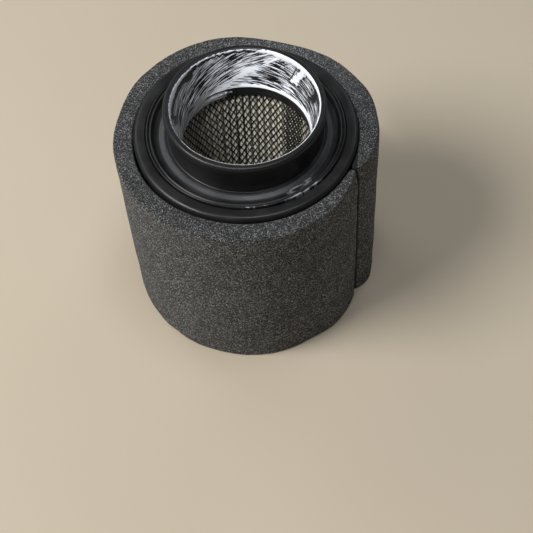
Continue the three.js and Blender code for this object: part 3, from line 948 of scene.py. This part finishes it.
def grease_material(mottle, streaks):
    material, tree, shader, place = new_material(
        "white assembly grease", specular_ior_level=0.35, roughness=0.45,
    )
    cover = add(tree, "Attribute", attribute_name="cover").outputs["Fac"]
    rising = add(tree, "Attribute", attribute_name="rising").outputs["Fac"]
    smear = add(tree, "Attribute", attribute_name="smear").outputs["Fac"]
    climbing = use_group(
        tree, streaks, {"Vector": place, "Turn": math.radians(-24), "Pitch": 0.52}
    )[0]
    level = use_group(tree, streaks, {"Vector": place, "Turn": math.radians(7), "Pitch": 0.5})[0]
    chosen = add(tree, "Mix", {"Factor": rising, 2: level, 3: climbing}).outputs[0]
    uneven = use_group(tree, mottle, {"Vector": place, "Patch Scale": 500, "Grain Scale": 3333})
    over = calc(tree, "ADD", calc(tree, "SUBTRACT", chosen, 1.0), cover)
    white = remap(tree, over, -0.03, 0.07)
    thin = remap(tree, over, -0.4, -0.02)
    film = blend_colours(tree, thin, (0.004, 0.004, 0.005, 1), (0.022, 0.025, 0.034, 1))
    grey_film = blend_colours(tree, uneven["Patches"], (0.2, 0.2, 0.21, 1), (0.36, 0.36, 0.37, 1))
    film = blend_colours(tree, smear, film, grey_film)
    colour = blend_colours(tree, white, film, (0.83, 0.855, 0.91, 1))
    tree.links.new(colour, shader.inputs["Base Color"])
    relief = calc(tree, "MULTIPLY_ADD", uneven["Grain"], 0.25, white)
    tree.links.new(bump(tree, relief, 0.12, 0.6), shader.inputs["Normal"])
    return material


def mesh_material(mottle):
    material, tree, shader, place = new_material(
        "black coated mesh", specular_ior_level=0.5,
    )
    uneven = use_group(tree, mottle, {"Vector": place, "Patch Scale": 200, "Grain Scale": 4000})
    colour = blend_colours(
        tree, remap(tree, uneven["Patches"], 0.35, 0.68), (0.012, 0.0115, 0.010, 1),
        (0.030, 0.029, 0.026, 1),
    )
    tree.links.new(colour, shader.inputs["Base Color"])
    tree.links.new(remap(tree, uneven["Grain"], 0.3, 0.7, 0.38, 0.55), shader.inputs["Roughness"])
    tree.links.new(bump(tree, uneven["Grain"], 0.02, 0.5), shader.inputs["Normal"])
    return material


def paper_material(mottle):
    material, tree, shader, place = new_material(
        "filter paper", roughness=0.9, specular_ior_level=0.2, sheen_weight=0.1,
    )
    uneven = use_group(tree, mottle, {"Vector": place, "Patch Scale": 285.7, "Grain Scale": 3333})
    stretched = add(tree, "Mapping", {"Vector": place, "Scale": (1, 1, 0.25)}).outputs[0]
    fibres = noise_value(tree, stretched, 2600.0, 3.0, 0.7)
    colour = blend_colours(
        tree, remap(tree, uneven["Patches"], 0.3, 0.7), (0.82, 0.78, 0.66, 1), (0.9, 0.87, 0.77, 1)
    )
    strands = remap(tree, fibres, 0.45, 0.75, 0.0, 0.35)
    colour = blend_colours(tree, strands, colour, (0.55, 0.47, 0.3, 1))
    tree.links.new(colour, shader.inputs["Base Color"])
    tree.links.new(bump(tree, fibres, 0.06, 0.7), shader.inputs["Normal"])
    return material


def clip_material(mottle):
    material, tree, shader, place = new_material("clip steel", metallic=1.0)
    drawn = add(tree, "Mapping", {"Vector": place, "Scale": (1, 1, 0.03)}).outputs[0]
    uneven = use_group(tree, mottle, {"Vector": drawn, "Patch Scale": 1000, "Grain Scale": 6667})
    colour = blend_colours(tree, uneven["Patches"], (0.42, 0.42, 0.41, 1), (0.62, 0.62, 0.61, 1))
    tree.links.new(colour, shader.inputs["Base Color"])
    tree.links.new(remap(tree, uneven["Grain"], 0.3, 0.7, 0.28, 0.45), shader.inputs["Roughness"])
    tree.links.new(bump(tree, uneven["Grain"], 0.02, 0.4), shader.inputs["Normal"])
    return material


def glue_material(mottle):
    material, tree, shader, place = new_material("seam glue", specular_ior_level=0.5)
    uneven = use_group(tree, mottle, {"Vector": place, "Patch Scale": 333.3, "Grain Scale": 1667})
    colour = blend_colours(tree, uneven["Patches"], (0.014, 0.013, 0.011, 1), (0.04, 0.036, 0.028, 1))
    tree.links.new(colour, shader.inputs["Base Color"])
    tree.links.new(remap(tree, uneven["Patches"], 0.3, 0.7, 0.35, 0.6), shader.inputs["Roughness"])
    tree.links.new(bump(tree, uneven["Grain"], 0.12, 0.8), shader.inputs["Normal"])
    return material


def floor_material():
    material, tree, shader, place = new_material("pale floor", roughness=0.8)
    tone = noise_value(tree, place, 6.0, 2.0)
    colour = blend_colours(tree, tone, (0.66, 0.57, 0.44, 1), (0.70, 0.61, 0.48, 1))
    tree.links.new(colour, shader.inputs["Base Color"])
    return material


def wear(piece, material):
    piece.data.materials.clear()
    piece.data.materials.append(material)


# ---------------------------------------------------------------- camera, floor and light


def make_camera():
    camera = bpy.data.objects.new("camera", bpy.data.cameras.new("camera"))
    bpy.context.scene.collection.objects.link(camera)
    bpy.context.scene.camera = camera
    camera.data.lens = 80.46
    camera.data.clip_start = 0.05
    distance, elevation = 0.5904, math.radians(56.19)
    camera.location = (0, -distance * math.cos(elevation), distance * math.sin(elevation))
    aim = Vector((0.0064, 0, -0.0107))
    level = (aim - camera.location).to_track_quat("-Z", "Y")
    camera.rotation_mode = "QUATERNION"
    camera.rotation_quaternion = level @ Quaternion((0, 0, 1), math.radians(-2.42))


def make_floor():
    """A plain floor under the closed end."""
    clear_selection()
    bpy.ops.mesh.primitive_grid_add(x_subdivisions=8, y_subdivisions=8, size=6)
    floor = name_piece("floor")
    settle(floor)
    wear(floor, floor_material())


def make_light(name, place, size, power, colour):
    """A round soft lamp, aimed at the middle of the element."""
    light = bpy.data.objects.new(name, bpy.data.lights.new(name, "AREA"))
    bpy.context.scene.collection.objects.link(light)
    light.data.shape = "DISK"
    light.data.size = size
    light.data.energy = power
    light.data.color = colour
    light.location = place
    light.rotation_mode = "QUATERNION"
    light.rotation_quaternion = (Vector((0, 0, 0.05)) - light.location).to_track_quat("-Z", "Y")


def make_neck_lamp():
    """A narrow lamp that looks down into the neck, towards the right of its back."""
    lamp = bpy.data.objects.new("snoot", bpy.data.lights.new("snoot", "SPOT"))
    bpy.context.scene.collection.objects.link(lamp)
    lamp.data.energy = 50.0
    lamp.data.spot_size = math.radians(4.2)
    lamp.data.spot_blend = 1.0
    lamp.data.shadow_soft_size = 0.03
    lamp.location = (-0.12, -0.25, 0.66)
    lamp.rotation_mode = "QUATERNION"
    aim = Vector((0.006, 0.010, 0.106)) - lamp.location
    lamp.rotation_quaternion = aim.to_track_quat("-Z", "Y")


def make_studio():
    make_floor()
    warm = (1.0, 0.98, 0.95)
    cool = (0.96, 0.98, 1.0)
    make_light("key", (-1.05, -0.3, 1.15), size=0.8, power=19.0, colour=warm)
    make_light("overhead", (0.1, -0.08, 1.35), size=0.45, power=3.2, colour=cool)
    make_light("back left", (-0.75, 0.95, 1.05), size=0.7, power=2.4, colour=cool)
    make_light("back right", (0.7, 0.95, 0.95), size=0.6, power=1.2, colour=cool)
    make_neck_lamp()
    world = bpy.data.worlds.new("studio")
    bpy.context.scene.world = world
    world.use_nodes = True
    world.node_tree.nodes["Background"].inputs["Color"].default_value = (0.9, 0.95, 1.0, 1)
    world.node_tree.nodes["Background"].inputs["Strength"].default_value = 0.08
    bpy.context.scene.view_settings.view_transform = "Standard"


# ---------------------------------------------------------------- the object

make_camera()
make_studio()

uneven_finish = make_mottle_group()
open_cells = make_cells_group()
urethane = urethane_material(uneven_finish)
coated_mesh = mesh_material(uneven_finish)

open_cap = make_open_cap()
closed_cap = make_closed_cap()
inner_mesh, inner_lap = make_inner_liner()
outer_mesh = make_outer_liner()
paper = make_paper()
grease = make_grease()
foam = make_foam()

wear(open_cap, urethane)
wear(closed_cap, urethane)
wear(inner_mesh, coated_mesh)
wear(inner_lap, coated_mesh)
wear(outer_mesh, coated_mesh)
wear(paper, paper_material(uneven_finish))
wear(grease, grease_material(uneven_finish, make_streaks_group()))
wear(foam, foam_material(open_cells, uneven_finish))
wear(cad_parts["pleat_clip"], clip_material(uneven_finish))
wear(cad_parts["seam_bond"], glue_material(uneven_finish))

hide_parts("top_cap")
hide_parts("bottom_cap")
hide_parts("inner_liner")
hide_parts("outer_liner")
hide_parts("pleated_media")
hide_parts("foam_sleeve")

for piece in (open_cap, closed_cap, inner_mesh, inner_lap, outer_mesh, paper, grease):
    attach(piece, "element")
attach(foam, "precleaner")
